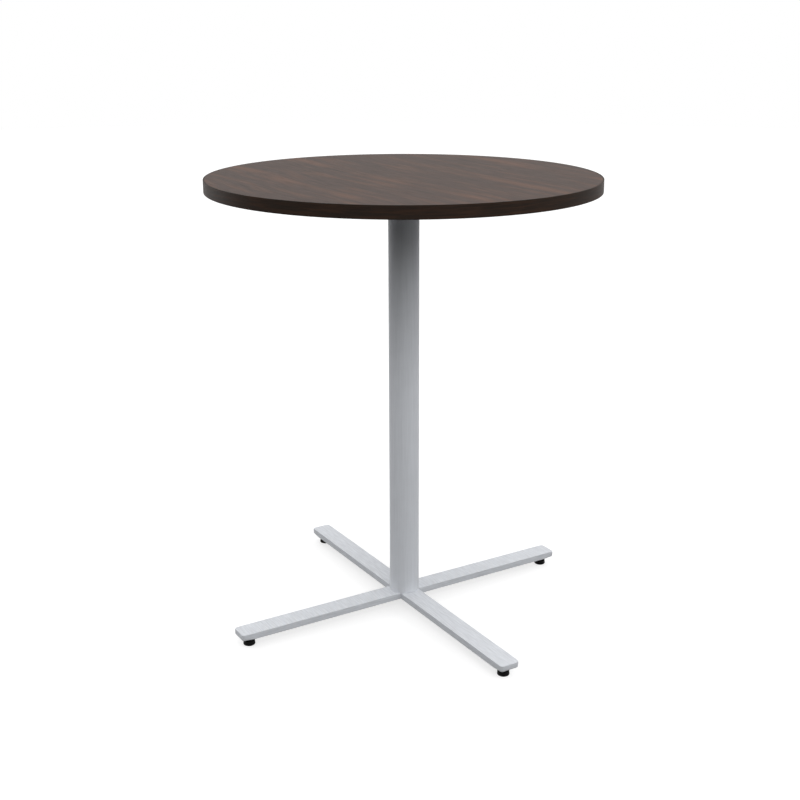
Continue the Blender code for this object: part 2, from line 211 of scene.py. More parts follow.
def linear(hex_colour):
    """Turn an sRGB hex colour into linear red, green and blue."""
    channels = [int(hex_colour[start:start + 2], 16) / 255 for start in (1, 3, 5)]
    return tuple(part / 12.92 if part <= 0.04045 else ((part + 0.055) / 1.055) ** 2.4 for part in channels)


def opaque(colour):
    """A linear colour with full alpha."""
    return (*colour, 1.0)


def colour_property(name, description, hex_colour):
    """A colour that the user can change in the sidebar."""
    colour = linear(hex_colour)
    return FloatVectorProperty(
        name=name, description=description, subtype="COLOR", size=3, min=0.0, max=1.0, default=colour
    )


def length_property(name, description, default, low, high):
    """A length, given in millimetres, that the user can change in the sidebar."""
    return FloatProperty(
        name=name, description=description, default=default * MM, min=low * MM, max=high * MM, unit="LENGTH"
    )


def power_property(name, description, default):
    """The power of a lamp, in watts, that the user can change in the sidebar."""
    return FloatProperty(
        name=name, description=description, default=default, min=0.0, max=1000.0, unit="POWER"
    )


class HighTableTopSettings(PropertyGroup):
    """Sizes and colours of the round top."""

    edge_radius: length_property("Edge radius", "Rounding along both rims of the edge band", 0.5, 0.2, 3.0)
    figure_repeat: length_property("Figure repeat", "Distance between the main walnut streaks", 205, 50, 600)
    ground: colour_property("Ground", "Main colour of the walnut print", "#3f2d24")
    streak: colour_property("Streak", "Colour of the warm streaks in the walnut print", "#593c2c")
    vein: colour_property("Vein", "Colour of the dark veins in the walnut print", "#2c1f19")
    edging: colour_property("Edging", "Main colour of the edge band", "#2f2722")


class HighTableSteelSettings(PropertyGroup):
    """Sizes and colours of the column, the mounting plate and the base."""

    corner_radius: length_property("Corner radius", "Corners at the free ends of the base", 8.0, 1.0, 20.0)
    edge_radius: length_property("Edge radius", "Rounding along the long edges of the base", 1.0, 0.2, 3.0)
    ripple_pitch: length_property("Weld ripple pitch", "Distance between a weld's ripples", 2.2, 1.0, 8.0)
    paint: colour_property("Paint", "Colour of the silver powder coat", "#d9dce1")
    zinc: colour_property("Zinc", "Colour of the zinc-plated bolts, screws and studs", "#b9bab4")


class HighTableGlideSettings(PropertyGroup):
    """Sizes and colours of the levelling glides."""

    thread_pitch: length_property("Thread pitch", "Rise of the stud's thread in a turn", 25.4 / 18, 0.5, 3.0)
    nylon: colour_property("Nylon", "Colour of the moulded pads", "#0c0c0d")


class HighTableStageSettings(PropertyGroup):
    """The floor and the light of the studio."""

    floor_radius: length_property("Floor radius", "Radius of the round studio floor", 14000, 2000, 50000)
    dome_level: FloatProperty(
        name="Dome level",
        description="Brightness of the light from straight above",
        default=2.53,
        min=0.0,
        max=10.0,
    )
    key_power: power_property("Key lamp power", "Power of the lamp high in front, on the right", 34.5)
    side_power: power_property("Side lamp power", "Power of the lamp low down on the right", 23.0)
    left_power: power_property("Left lamp power", "Power of the lamp low down behind, on the left", 18.0)
    floor_bounce: colour_property("Floor bounce", "Colour of the light that the floor throws up", "#404040")


def to_mesh(shape):
    """Turn a finished bmesh into a mesh whose faces point outwards."""
    bmesh.ops.recalc_face_normals(shape, faces=shape.faces[:])
    mesh = bpy.data.meshes.new("shape")
    shape.to_mesh(mesh)
    shape.free()
    return mesh


def arc(centre, radius, start, end, steps):
    """Points along an arc in a plane, from one angle in degrees to another."""
    points = []
    for step in range(steps + 1):
        angle = math.radians(start + (end - start) * step / steps)
        points.append((centre[0] + radius * math.cos(angle), centre[1] + radius * math.sin(angle)))
    return points


def turned(profile, sides, closed=False):
    """Spin a profile of (radius, height) points about the vertical axis."""
    shape = bmesh.new()
    corners = [shape.verts.new((radius, 0.0, height)) for radius, height in profile]
    edges = [shape.edges.new(pair) for pair in zip(corners, corners[1:])]
    if closed:
        edges.append(shape.edges.new((corners[-1], corners[0])))
    bmesh.ops.spin(
        shape,
        geom=corners + edges,
        cent=(0, 0, 0),
        axis=(0, 0, 1),
        angle=2 * math.pi,
        steps=sides,
        use_merge=True,
    )
    bmesh.ops.remove_doubles(shape, verts=shape.verts[:], dist=SAME_POINT)
    return to_mesh(shape)


def eased_ring(inner, low, high, edge_radius):
    """Profile of a ring that fills a box and has its two outer rims rounded, or of a disc without a hole."""
    profile = [(inner, low.z)]
    profile += arc((high.x - edge_radius, low.z + edge_radius), edge_radius, -90, 0, EDGE_STEPS)
    profile += arc((high.x - edge_radius, high.z - edge_radius), edge_radius, 0, 90, EDGE_STEPS)
    return profile + [(inner, high.z)]


def skinned(shape, rings, closed=False):
    """Skin rings of points one to the next, all the way round or else with flat ends."""
    following = rings[1:] + rings[:1] if closed else rings[1:]
    for near, far in zip(rings, following):
        for index in range(len(near)):
            other = (index + 1) % len(near)
            shape.faces.new((near[index], near[other], far[other], far[index]))
    if not closed:
        shape.faces.new(rings[0])
        shape.faces.new(rings[-1])
    return to_mesh(shape)


def new_object(name, data):
    """A new object in the scene."""
    item = bpy.data.objects.new(name, data)
    bpy.context.scene.collection.objects.link(item)
    return item


def combined(mesh, tool, operation):
    """Cut a mesh with a tool mesh, join the two or keep what they share, and return the result."""
    body = new_object("body", mesh)
    cutter = new_object("cutter", tool)
    modifier = body.modifiers.new("combine", "BOOLEAN")
    modifier.operation = operation
    modifier.object = cutter
    evaluated = body.evaluated_get(bpy.context.evaluated_depsgraph_get())
    shape = bmesh.new()
    shape.from_mesh(evaluated.to_mesh())
    bmesh.ops.remove_doubles(shape, verts=shape.verts[:], dist=SAME_POINT)
    bmesh.ops.dissolve_degenerate(shape, edges=shape.edges[:], dist=SAME_POINT)
    for item in (body, cutter):
        bpy.data.objects.remove(item, do_unlink=True)
    for used in (mesh, tool):
        bpy.data.meshes.remove(used)
    return to_mesh(shape)


def drilled(mesh, spots, radius, low, high, skin=-CUT_MARGIN):
    """Drill a round hole from below at each (x, y) spot, right through or up to a skin under the top."""
    bottom = low.z - CUT_MARGIN
    top = high.z - skin
    for x, y in spots:
        drill = turned([(0, bottom), (radius, bottom), (radius, top), (0, top)], SMALL_SIDES)
        drill.transform(Matrix.Translation((x, y, 0)))
        mesh = combined(mesh, drill, "DIFFERENCE")
    return mesh


def rounded_outline(low, high, radii):
    """Outline of a rectangle, with a radius for each corner from lower left, anticlockwise."""
    corners = [(low[0], low[1]), (high[0], low[1]), (high[0], high[1]), (low[0], high[1])]
    inward = [(1, 1), (-1, 1), (-1, -1), (1, -1)]
    points = []
    for index, (corner, way, radius) in enumerate(zip(corners, inward, radii)):
        if radius == 0:
            points.append(corner)
            continue
        centre = (corner[0] + way[0] * radius, corner[1] + way[1] * radius)
        start = 180 + 90 * index
        points += arc(centre, radius, start, start + 90, CORNER_STEPS)
    return points


def divided(outline, longest):
    """The same outline with its long sides cut into equal short steps."""
    points = []
    for index, (x, y) in enumerate(outline):
        next_x, next_y = outline[(index + 1) % len(outline)]
        steps = math.ceil(math.hypot(next_x - x, next_y - y) / longest)
        for step in range(steps):
            points.append((x + (next_x - x) * step / steps, y + (next_y - y) * step / steps))
    return points


def inward_ways(outline, square_end_x):
    """How far each point of an outline moves when its sides move in by one; a square end stays in place."""
    ways = []
    for index, (x, y) in enumerate(outline):
        here = Vector((x, y))
        before = (here - Vector(outline[index - 1])).normalized()
        after = (Vector(outline[(index + 1) % len(outline)]) - here).normalized()
        first = Vector((-before.y, before.x))
        second = Vector((-after.y, after.x))
        way = (first + second) / (1 + first.dot(second))
        if square_end_x is not None and abs(x - square_end_x) < SAME_POINT:
            way.x = 0
        ways.append(way)
    return ways


def flat_plate(outline, bottom, top, rim_radii, square_end_x=None):
    """A plate with rounded rims; rim_radii gives the lower and the upper rim's radius at a point."""
    shape = bmesh.new()
    ways = inward_ways(outline, square_end_x)
    rings = []
    for upper in (False, True):
        for cosine, sine in arc((0, 0), 1, 0 if upper else -90, 90 if upper else 0, EDGE_STEPS):
            ring = []
            for (x, y), way in zip(outline, ways):
                radius = rim_radii(x, y)[upper]
                level = (top - radius if upper else bottom + radius) + radius * sine
                drawn_in = radius * (1 - cosine)
                ring.append(shape.verts.new((x + way.x * drawn_in, y + way.y * drawn_in, level)))
            rings.append(ring)
    return skinned(shape, rings)


def eased(share):
    """A share from 0 to 1 that starts and ends gently."""
    share = min(1, max(0, share))
    return share * share * (3 - 2 * share)


def bar_rims(reach, edge_radius):
    """Rim radii of a bar of the base, whose free end is ground rounder than its long edges."""

    def radii(x, y):
        from_tip = reach - max(abs(x), abs(y))
        lower = eased((TIP_LOWER_REACH - from_tip) / TIP_LOWER_BLEND)
        upper = eased((TIP_UPPER_REACH - from_tip) / TIP_UPPER_BLEND)
        return (
            edge_radius + (TIP_LOWER_RADIUS - edge_radius) * lower,
            edge_radius + (TIP_UPPER_RADIUS - edge_radius) * upper,
        )

    return radii


def hexagon(across_flats, bottom, top, chamfer_below, chamfer_above):
    """A hexagonal head with its corners turned off in a cone on the sides that are asked for."""
    corner = across_flats / math.sqrt(3)
    prism = turned([(0, bottom), (corner, bottom), (corner, top), (0, top)], 6)
    clear = corner + HEX_CONE_MARGIN
    envelope = [(0, bottom), (corner - chamfer_below, bottom), (clear, bottom + chamfer_below / 2)]
    envelope += [(clear, top - chamfer_above / 2), (corner - chamfer_above, top), (0, top)]
    return combined(prism, turned(envelope, SMALL_SIDES), "INTERSECT")


def threaded_stem(low, high, major, minor, pitch, limit):
    """A closed right-hand threaded stem; limit gives the largest radius that it may have at a height."""
    shape = bmesh.new()
    rows = math.ceil((high - low) / pitch * THREAD_ROWS)
    grid = {}
    for row in range(-THREAD_ROWS, rows + 2 * THREAD_ROWS + 2):
        crest = 1 - abs(2 * (row / THREAD_ROWS % 1) - 1)
        radius = minor + (major - minor) * min(1, THREAD_SHARP_CREST * crest)
        for side in range(THREAD_SIDES):
            turn = side / THREAD_SIDES
            height = min(max(low + (row / THREAD_ROWS + turn) * pitch, low), high)
            reach = min(radius, limit(height))
            angle = 2 * math.pi * turn
            grid[row, side] = shape.verts.new((reach * math.cos(angle), reach * math.sin(angle), height))
    for row in range(-THREAD_ROWS, rows + THREAD_ROWS):
        for side in range(THREAD_SIDES):
            last = side == THREAD_SIDES - 1
            across = (row + THREAD_ROWS, 0) if last else (row, side + 1)
            above = (across[0] + 1, across[1])
            shape.faces.new([grid[key] for key in ((row, side), across, above, (row + 1, side))])
    bmesh.ops.remove_doubles(shape, verts=shape.verts[:], dist=SAME_POINT)
    bmesh.ops.delete(shape, geom=[vert for vert in shape.verts if not vert.link_faces], context="VERTS")
    bmesh.ops.holes_fill(shape, edges=[edge for edge in shape.edges if edge.is_boundary], sides=0)
    return to_mesh(shape)


def scallop(phase):
    """One rounded ripple after another, with a sharp valley between them, from 0 to 1."""
    return abs(math.sin(math.pi * phase))


def weld_bead(length, width, height, top, pitch):
    """A straight bead along Y with crescent ripples, flat on top and domed below."""
    steps = RIPPLE_STEPS * round(length / pitch)
    shape = bmesh.new()
    rings = []
    for step in range(1, steps):
        along = 2 * step / steps - 1
        size = math.sqrt(1 - along ** BEAD_END_SQUARENESS)
        ring = []
        for x, z in arc((0, 0), size, 180, 360, BEAD_STEPS_ACROSS):
            valley = 1 - scallop(step / RIPPLE_STEPS + BEAD_SWEEP * x * x)
            depth = height * (1 - BEAD_RIPPLE_DEPTH * valley)
            ring.append(shape.verts.new((x * width / 2, along * length / 2, top + z * depth)))
        rings.append(ring)
    return skinned(shape, rings)


def fillet_ring(inner, leg, top, pitch):
    """A rippled fillet weld round a tube, between its side and the plate above it."""
    steps = RIPPLE_STEPS * round(2 * math.pi * inner / pitch)
    shape = bmesh.new()
    rings = []
    for step in range(steps):
        angle = 2 * math.pi * step / steps
        ring = []
        for index, (x, z) in enumerate(arc((1, -1), 1, 180, 90, RIPPLE_STEPS) + [(0, 0)]):
            share = index / RIPPLE_STEPS
            bulge = math.sin(math.pi * share) if share <= 1 else 0
            ripple = FILLET_RIPPLE_DEPTH * bulge * scallop(step / RIPPLE_STEPS + BEAD_SWEEP * bulge)
            radius = inner + leg * (x + ripple)
            place = (radius * math.cos(angle), radius * math.sin(angle), top + leg * (z - ripple))
            ring.append(shape.verts.new(place))
        rings.append(ring)
    return skinned(shape, rings, closed=True)


def add_node(tree, kind, sockets=(), output=0, **properties):
    """Add a node with its properties and return one of its outputs, the first if none is asked for.

    The sockets hold values, or outputs to link, in order or by name. Those of a mix node go by number,
    because several share a name.
    """
    node = tree.nodes.new(kind)
    for name, value in properties.items():
        setattr(node, name, value)
    for name, value in sockets.items() if isinstance(sockets, dict) else enumerate(sockets):
        if isinstance(value, bpy.types.NodeSocket):
            tree.links.new(value, node.inputs[name])
        else:
            node.inputs[name].default_value = value
    return node.outputs[output] if node.outputs else None


def set_stops(tone, stops):
    """Give the colour ramp behind an output its stops, each a place and a grey or a linear colour."""
    elements = tone.node.color_ramp.elements
    while len(elements) < len(stops):
        elements.new(0.5)
    for element, (place, value) in zip(elements, stops):
        colour = (value,) * 3 if isinstance(value, float) else value
        element.position = place
        element.color = opaque(colour)


def start_material(name, **sockets):
    """A new Principled material with its shader's own sockets set, its tree, and a place on the piece.

    Underscores in a socket's name stand for spaces.
    """
    material = bpy.data.materials.new(name)
    material.use_nodes = True
    tree = material.node_tree
    for socket, value in sockets.items():
        tree.nodes["Principled BSDF"].inputs[socket.replace("_", " ")].default_value = value
    return material, tree, add_node(tree, "ShaderNodeTexCoord", output="Object")


def finish_material(material, colour, pattern, roughness, depth, span=MAIN_SPAN, height=None):
    """Give a material its colour, roughness and relief, and return it.

    The roughness goes from its first value to its second as the pattern crosses the span. The surface rises
    by a real depth where the height, which is the pattern if nothing else is given, rises by 1.
    """
    tree = material.node_tree
    shader = tree.nodes["Principled BSDF"]
    dullness = add_node(tree, "ShaderNodeMapRange", (pattern, *span, *roughness))
    sockets = {"Height": height or pattern, "Distance": depth, "Strength": 1.0}
    bump = add_node(tree, "ShaderNodeBump", sockets)
    for socket, value in (("Base Color", colour), ("Roughness", dullness), ("Normal", bump)):
        tree.links.new(value, shader.inputs[socket])
    return material


def shaded(tree, colour, pattern, span, shades):
    """A colour that goes from one shade of itself to another as a pattern crosses a span."""
    shade = add_node(tree, "ShaderNodeMapRange", (pattern, *span, *shades))
    sockets = {0: colour, "Scale": shade}
    return add_node(tree, "ShaderNodeVectorMath", sockets, operation="SCALE")


def grain_of_size(tree, where, feature, detail=3.0, roughness=0.5):
    """A random pattern from 0 to 1 whose features have a given size in metres along each axis."""
    scale = tuple(1 / size for size in feature)
    spread = add_node(tree, "ShaderNodeMapping", {"Vector": where, "Scale": scale})
    sockets = {"Vector": spread, "Scale": 1.0, "Detail": detail, "Roughness": roughness}
    return add_node(tree, "ShaderNodeTexNoise", sockets)


def walnut_melamine(name, settings):
    """Melamine laminate, a dark walnut print under a clear skin pressed with a soft grain.

    It is a warm brown seen from above, and turns grey towards the horizon, where the satin skin mirrors the
    room. The print has main warm streaks along Y that repeat as the printing roll does, weaker ones between
    them, thin dark veins and fine fibres.
    """
    material, tree, where = start_material(name, IOR=1.5, Specular_IOR_Level=0.28)
    # The streaks wander by about a centimetre, as those of a sliced trunk do
    drift = grain_of_size(tree, where, (0.30, 0.45, 1.0), detail=1.0)
    shift = add_node(tree, "ShaderNodeMapRange", (drift, 0.0, 1.0, -0.03, 0.03))
    offset = add_node(tree, "ShaderNodeCombineXYZ", {"X": shift})
    wandered = add_node(tree, "ShaderNodeVectorMath", (where, offset), operation="ADD")

    # Warm streaks, as a share from 0 to 1
    repeat = 2 * math.pi / settings.figure_repeat
    start = math.pi - repeat * FIGURE_START
    sockets = {"Vector": wandered, "Scale": repeat / WAVE_FACTOR, "Distortion": 0.0, "Phase Offset": start}
    wave = add_node(tree, "ShaderNodeTexWave", sockets, "Fac", wave_type="BANDS", bands_direction="X")
    bands = add_node(tree, "ShaderNodeMapRange", (wave, 0.88, 1.0, 0.0, 1.0))
    lengths = grain_of_size(tree, where, (0.09, 0.26, 1.0), detail=1.0)
    lengths = add_node(tree, "ShaderNodeMapRange", (lengths, 0.40, 0.56, 0.15, 1.0))
    main = add_node(tree, "ShaderNodeMath", (bands, lengths), operation="MULTIPLY")
    weaker = grain_of_size(tree, wandered, (0.020, 0.24, 1.0), detail=2.0)
    weaker = add_node(tree, "ShaderNodeMapRange", (weaker, 0.50, 0.70, 0.0, 0.75))
    streaks = add_node(tree, "ShaderNodeMath", (main, weaker), operation="MAXIMUM")

    veins = grain_of_size(tree, wandered, (0.011, 0.40, 1.0), detail=4.0, roughness=0.6)
    dark = add_node(tree, "ShaderNodeMapRange", (veins, 0.52, 0.72, 0.0, 0.8))
    sockets = {0: dark, 6: opaque(settings.ground), 7: opaque(settings.vein)}
    colour = add_node(tree, "ShaderNodeMix", sockets, data_type="RGBA", output=2)
    sockets = {0: streaks, 6: colour, 7: opaque(settings.streak)}
    colour = add_node(tree, "ShaderNodeMix", sockets, data_type="RGBA", output=2)

    # Real fibres are 0.1 mm wide; these are drawn 2 mm wide so that the picture can show them
    fibres = grain_of_size(tree, wandered, (0.002, 0.07, 1.0), detail=4.0, roughness=0.65)
    colour = shaded(tree, colour, fibres, WHOLE_SPAN, (0.66, 1.34))
    return finish_material(material, colour, fibres, (0.66, 0.56), 0.006 * MM)


def walnut_edging(name, settings):
    """Extruded edge band with a printed walnut grain that runs round the table.

    It is nearly black brown and satin, and it picks up a grey sheen where the rim turns away.
    """
    material, tree, where = start_material(name, IOR=1.5, Specular_IOR_Level=0.03)
    # The grain follows the rim because it changes fast with height and slowly across the table
    bands = grain_of_size(tree, where, (0.09, 0.09, 0.005), roughness=0.6)
    tint = add_node(tree, "ShaderNodeMapRange", (bands, 0.42, 0.72, 0.0, 0.30))
    sockets = {0: tint, 6: opaque(settings.edging), 7: opaque(settings.streak)}
    colour = add_node(tree, "ShaderNodeMix", sockets, data_type="RGBA", output=2)
    fibres = grain_of_size(tree, where, (0.03, 0.03, 0.0012))
    colour = shaded(tree, colour, fibres, WHOLE_SPAN, (0.80, 1.16))
    return finish_material(material, colour, fibres, (0.42, 0.50), 0.005 * MM)


def phenolic_backer(name):
    """Resin-soaked kraft paper that balances the laminate: matt, dark brown and faintly cloudy."""
    material, tree, where = start_material(name, IOR=1.55, Specular_IOR_Level=0.3)
    clouds = grain_of_size(tree, where, (0.06,) * 3, detail=5.0, roughness=0.6)
    tone = add_node(tree, "ShaderNodeValToRGB", (clouds,))
    set_stops(tone, [(0.3, linear("#2a211c")), (0.7, linear("#3a2e27"))])
    grit = grain_of_size(tree, where, (0.0015,) * 3, detail=2.0)
    return finish_material(material, tone, grit, (0.58, 0.72), 0.04 * MM)


def pressed_chips(name):
    """Raw particleboard: pale wood chips in glue, matt and rough."""
    material, tree, where = start_material(name, IOR=1.45)
    chips = add_node(tree, "ShaderNodeTexVoronoi", {"Vector": where, "Scale": 1 / CHIP_SIZE}, "Distance")
    tone = add_node(tree, "ShaderNodeValToRGB", (chips.node.outputs["Color"],))
    set_stops(tone, [(0.2, linear("#9a7b56")), (0.8, linear("#c9ab80"))])
    return finish_material(material, tone, chips, (0.75, 0.95), 0.2 * MM, span=(0.0, 0.6))


def silver_powder_coat(name, settings, axis):
    """Satin silver powder coat over steel that was brushed along an axis.

    The eye sees a pale cool grey with a soft sheen, faint brushing marks, which run level on the faces that
    look along the axis, and the fine peel of a baked powder.
    """
    material, tree, where = start_material(name, IOR=1.5, Specular_IOR_Level=0.2)
    # Brushing marks are finer than 0.2 mm; these are drawn coarse so that the picture can show them
    mark = [BRUSH_WIDTH] * 3
    mark["XYZ".index(axis)] = BRUSH_LENGTH[axis]
    along = grain_of_size(tree, where, mark, roughness=0.55)
    level_mark = (BRUSH_LENGTH["Y"], BRUSH_WIDTH, BRUSH_WIDTH)
    across = grain_of_size(tree, where, level_mark, roughness=0.55)
    # The marks change over on faces that look along the axis to within 45 degrees
    normal = add_node(tree, "ShaderNodeTexCoord", output="Normal")
    facing = add_node(tree, "ShaderNodeSeparateXYZ", (normal,), output=axis)
    facing = add_node(tree, "ShaderNodeMath", (facing,), operation="ABSOLUTE")
    share = add_node(tree, "ShaderNodeMapRange", (facing, 0.65, 0.75, 0.0, 1.0))
    brushing = add_node(tree, "ShaderNodeMix", {0: share, 2: along, 3: across})

    clouds = grain_of_size(tree, where, (0.04,) * 3, detail=2.0)
    colour = shaded(tree, settings.paint, brushing, WHOLE_SPAN, BRUSH_SHADES[axis])
    colour = shaded(tree, colour, clouds, MAIN_SPAN, (0.985, 1.015))
    peel = grain_of_size(tree, where, (0.0012,) * 3, detail=2.0)
    height = add_node(tree, "ShaderNodeMath", (brushing, peel), operation="ADD")
    return finish_material(material, colour, brushing, (0.40, 0.52), 0.003 * MM, height=height)


def zinc_plate(name, settings):
    """Bright zinc plating on small steel parts: a cool silver with a cloudy, slightly uneven shine."""
    material, tree, where = start_material(name, Metallic=1.0)
    clouds = grain_of_size(tree, where, (0.004,) * 3, detail=4.0, roughness=0.6)
    colour = shaded(tree, settings.zinc, clouds, MAIN_SPAN, (0.84, 1.05))
    return finish_material(material, colour, clouds, (0.26, 0.42), 0.01 * MM)


def turned_steel(name):
    """Bare steel faced on a lathe: a darker grey with fine rings from the tool."""
    material, tree, where = start_material(name, Metallic=1.0)
    # With the texture's own factor, this makes the rings 0.94 mm apart
    sockets = {"Vector": where, "Scale": 1 / (3 * MM), "Distortion": 0.6}
    rings = add_node(tree, "ShaderNodeTexWave", sockets, "Fac", wave_type="RINGS", rings_direction="Z")
    tone = add_node(tree, "ShaderNodeValToRGB", (rings,))
    set_stops(tone, [(0.0, linear("#7c7c7e")), (1.0, linear("#96969a"))])
    return finish_material(material, tone, rings, (0.32, 0.45), 0.01 * MM, span=(0.0, 1.0))


def moulded_nylon(name, settings):
    """Injection-moulded nylon with a fine spark-eroded texture: black with a dull satin shine."""
    material, tree, where = start_material(name, IOR=1.53, Specular_IOR_Level=0.06)
    grain = grain_of_size(tree, where, (0.0008,) * 3)
    colour = shaded(tree, settings.nylon, grain, MAIN_SPAN, (0.8, 1.2))
    return finish_material(material, colour, grain, (0.42, 0.56), 0.006 * MM)


def material_named(name, make, *arguments):
    """The material of that name, made the first time that a piece asks for it."""
    return bpy.data.materials.get(name) or make(name, *arguments)


def add_piece(name, mesh, material, node, spot=(0, 0), turn=0.0):
    """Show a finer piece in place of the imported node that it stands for, on its body."""
    mesh.materials.clear()
    mesh.materials.append(material)
    mesh.shade_smooth()
    mesh.set_sharp_from_angle(angle=SMOOTH_ANGLE)
    piece = new_object(name, mesh)
    piece.location = (*spot, 0)
    piece.rotation_euler.z = turn
    # Large flat faces stay flat in the light, and only the rounded edges turn
    evener = piece.modifiers.new("even_shading", "WEIGHTED_NORMAL")
    evener.keep_sharp = True
    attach(piece, frame["nodes"][node]["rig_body"])
    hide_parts(node)


def dress_node(node, material):
    """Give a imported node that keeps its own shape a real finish."""
    mesh = frame["nodes"][node].data
    mesh.materials.clear()
    mesh.materials.append(material)


def spot_of(node):
    """Where a node's vertical axis stands in plan."""
    low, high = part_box(node)
    return (low.x + high.x) / 2, (low.y + high.y) / 2


def screw_spots():
    """Places of the mounting screws in plan."""
    return [spot_of(f"mounting_screw_{number}") for number in range(1, SCREW_COUNT + 1)]


class HIGHTABLE_OT_top(Operator):
    """Make the round top: laminate, edge band and backer, and finish the particleboard core"""

    bl_idname = "high_table.top"
    bl_label = "Round top"

    def execute(self, context):
        settings = context.scene.high_table_top
        low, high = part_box("top_laminate")
        sheet = turned(eased_ring(0, low, high, SHEET_EDGE_RADIUS), TOP_SIDES)
        walnut = material_named("walnut_melamine", walnut_melamine, settings)
        add_piece("walnut_top_sheet", sheet, walnut, "top_laminate")

        low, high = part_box("edge_band")
        profile = eased_ring(high.x - BAND_THICKNESS, low, high, settings.edge_radius)
        band = turned(profile, TOP_SIDES, closed=True)
        edging = material_named("walnut_edging", walnut_edging, settings)
        add_piece("walnut_edge_band", band, edging, "edge_band")

        low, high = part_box("bottom_backer_sheet")
        sheet = turned(eased_ring(0, low, high, BACKER_EDGE_RADIUS), TOP_SIDES)
        sheet = drilled(sheet, screw_spots(), SCREW_HOLE_RADIUS, low, high)
        backer = material_named("phenolic_backer", phenolic_backer)
        add_piece("backer_with_screw_holes", sheet, backer, "bottom_backer_sheet")

        dress_node("tabletop_core", material_named("pressed_chips", pressed_chips))
        return {"FINISHED"}


class HIGHTABLE_OT_mounting_plate(Operator):
    """Make the square mounting plate, its eight cross-recessed screws and the weld to the column"""

    bl_idname = "high_table.mounting_plate"
    bl_label = "Mounting plate"

    def execute(self, context):
        settings = context.scene.high_table_steel
        paint = material_named("silver_plate_coat", silver_powder_coat, settings, "Y")
        low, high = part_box("mounting_plate")
        outline = rounded_outline(low, high, [PLATE_CORNER_RADIUS] * 4)
        plate = flat_plate(outline, low.z, high.z, self.rims)
        plate = drilled(plate, screw_spots(), SCREW_HOLE_RADIUS, low, high)
        add_piece("drilled_plate", plate, paint, "mounting_plate")

        low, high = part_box("plate_weld")
        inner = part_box("column_tube")[1].x + TOUCH_GAP
        ring = fillet_ring(inner, high.z - low.z, high.z, settings.ripple_pitch)
        add_piece("rippled_plate_weld", ring, paint, "plate_weld")

        zinc = material_named("zinc_plate", zinc_plate, settings)
        screw = self.screw()
        for number, spot in enumerate(screw_spots(), start=1):
            add_piece(f"pan_head_screw_{number}", screw, zinc, f"mounting_screw_{number}", spot)
        return {"FINISHED"}

    def rims(self, x, y):
        """Rim radii of the plate, the same at every point."""
        return PLATE_EDGE_RADIUS, PLATE_EDGE_RADIUS

    def screw(self):
        """A pan-head wood screw with a cross recess, head downwards."""
        low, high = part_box("mounting_screw_1")
        head_radius = (high.x - low.x) / 2
        seat = low.z + SCREW_HEAD_HEIGHT
        neck_top = seat + SCREW_NECK_LENGTH
        core = SCREW_CORE_DIAMETER / 2
        full = SCREW_DIAMETER / 2
        # The neck goes on into the thread for its own length, so that the two join
        inside = neck_top + SCREW_NECK_LENGTH
        dome = arc((0, 0), 1, -90, 0, CORNER_STEPS)
        profile = [(x * head_radius, seat + z * SCREW_HEAD_HEIGHT) for x, z in dome]
        profile += [(core, seat), (core, inside), (0, inside)]
        head = turned(profile, SMALL_SIDES)
        for turn in (0, math.pi / 2):
            head = combined(head, self.recess_wing(low.z, turn), "DIFFERENCE")

        def envelope(height):
            """Largest radius of the stem: its core at the neck, then the full thread and a conical point."""
            cone = (high.z - height) / SCREW_POINT_LENGTH * full
            return min(core if height <= neck_top else full, cone)

        stem = threaded_stem(neck_top, high.z, full, core, SCREW_PITCH, envelope)
        return combined(head, stem, "UNION")

    def recess_wing(self, head_bottom, turn):
        """One of the two tapered slots that cross in a screw's head."""
        shape = bmesh.new()
        rings = []
        mouth = (head_bottom - CUT_MARGIN, RECESS_SPAN + CUT_MARGIN)
        floor = (head_bottom + RECESS_DEPTH, RECESS_FLOOR_SPAN)
        for height, span in (mouth, floor):
            reach = span / 2
            side = RECESS_WING / 2
            corners = ((-reach, -side), (reach, -side), (reach, side), (-reach, side))
            rings.append([shape.verts.new((x, y, height)) for x, y in corners])
        wing = skinned(shape, rings)
        wing.transform(Matrix.Rotation(turn, 4, "Z"))
        return wing


class HIGHTABLE_OT_column(Operator):
    """Make the round column and finish the steel disc inside its foot"""

    bl_idname = "high_table.column"
    bl_label = "Column"

    def execute(self, context):
        settings = context.scene.high_table_steel
        low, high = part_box("column_tube")
        profile = eased_ring(high.x - COLUMN_WALL, low, high, COLUMN_END_RADIUS)
        tube = turned(profile, COLUMN_SIDES, closed=True)
        paint = material_named("silver_column_coat", silver_powder_coat, settings, "Z")
        add_piece("silver_column", tube, paint, "column_tube")
        dress_node("column_foot_disc", material_named("turned_steel", turned_steel))
        return {"FINISHED"}


